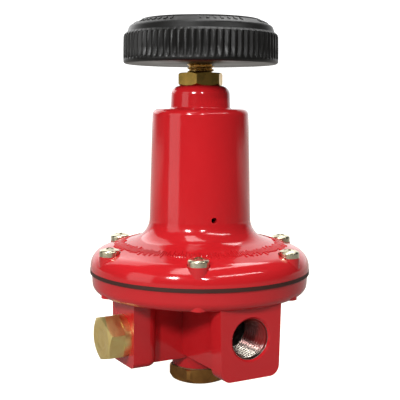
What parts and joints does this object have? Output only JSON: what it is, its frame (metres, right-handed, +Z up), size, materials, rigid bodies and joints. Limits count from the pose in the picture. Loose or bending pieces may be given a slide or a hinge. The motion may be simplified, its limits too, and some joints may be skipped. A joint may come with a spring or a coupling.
{
  "type": "gas pressure regulator",
  "caption": "Red cast-metal diaphragm gas regulator: flanged halves with a tall spring tower, black fluted handwheel, threaded ports and brass plugs.",
  "frame": {"origin": "centre of the bottom cap's flat underside, on the main axis", "axes": "+Z up the main axis to the handwheel, -Y out of the outlet port, +Y out of the inlet port, -X out of the plugged gauge port"},
  "size_m": [0.078, 0.078, 0.1276],
  "materials": {
    "body": "gloss",
    "bonnet": "gloss",
    "bonnet_screws": "satin",
    "bottom_cap": "satin",
    "bottom_cap_gasket": "matte",
    "gauge_port_plug": "satin",
    "inlet_screen": "satin",
    "valve_seat": "satin",
    "valve_seat_gasket": "matte",
    "valve_poppet": "satin",
    "valve_disc": "matte",
    "valve_pin": "satin",
    "valve_spring": "satin",
    "diaphragm": "matte",
    "diaphragm_plate": "satin",
    "diaphragm_washer": "satin",
    "diaphragm_stem": "satin",
    "diaphragm_nut": "satin",
    "adjusting_spring": "satin",
    "spring_button": "satin",
    "thrust_ball": "polished",
    "adjusting_screw": "satin",
    "lock_nut": "satin",
    "handwheel": "semi-gloss",
    "handwheel_insert": "satin",
    "handwheel_washer": "satin",
    "handwheel_screw": "satin"
  },
  "bodies": {
    "housing": {"body": "body", "bonnet": "bonnet", "bonnet_screws": "bonnet_screws", "bottom_cap": "bottom_cap", "bottom_cap_gasket": "bottom_cap_gasket", "gauge_port_plug": "gauge_port_plug", "inlet_screen": "inlet_screen", "valve_seat": "valve_seat", "valve_seat_gasket": "valve_seat_gasket", "diaphragm": "diaphragm", "adjusting_spring": "adjusting_spring", "valve_spring": "valve_spring"},
    "spring_button": {"spring_button": "spring_button", "thrust_ball": "thrust_ball"},
    "handwheel": {"handwheel": "handwheel", "handwheel_insert": "handwheel_insert", "handwheel_washer": "handwheel_washer", "handwheel_screw": "handwheel_screw", "adjusting_screw": "adjusting_screw"},
    "lock_nut": {"lock_nut": "lock_nut"},
    "diaphragm_assembly": {"diaphragm_plate": "diaphragm_plate", "diaphragm_washer": "diaphragm_washer", "diaphragm_stem": "diaphragm_stem", "diaphragm_nut": "diaphragm_nut"},
    "valve": {"valve_poppet": "valve_poppet", "valve_disc": "valve_disc", "valve_pin": "valve_pin"}
  },
  "joints": [
    {"name": "button_travel", "type": "slide", "parent": "housing", "child": "spring_button", "axis": [0, 0, 1], "range_m": [-0.0025, 0.005], "deforming": ["adjusting_spring"]},
    {"name": "handwheel_turn", "type": "hinge", "parent": "spring_button", "child": "handwheel", "pos_m": [0, 0, 0.11], "axis": [0, 0, 1], "range_deg": [-720, 1440]},
    {"name": "lock_nut_turn", "type": "hinge", "parent": "housing", "child": "lock_nut", "pos_m": [0, 0, 0.107], "axis": [0, 0, 1], "range_deg": [0, 180]},
    {"name": "diaphragm_travel", "type": "slide", "parent": "housing", "child": "diaphragm_assembly", "axis": [0, 0, 1], "range_m": [-0.0012, 0], "stiffness_N_per_m": 3000, "springref_m": 0.0005, "deforming": ["diaphragm", "adjusting_spring"]},
    {"name": "valve_travel", "type": "slide", "parent": "housing", "child": "valve", "axis": [0, 0, 1], "range_m": [-0.0012, 0], "deforming": ["valve_spring"]}
  ],
  "couplings": [
    {"joint": "handwheel_turn", "follows": "button_travel", "rad_per_m": 4947.4},
    {"joint": "valve_travel", "follows": "diaphragm_travel", "ratio": 1}
  ]
}
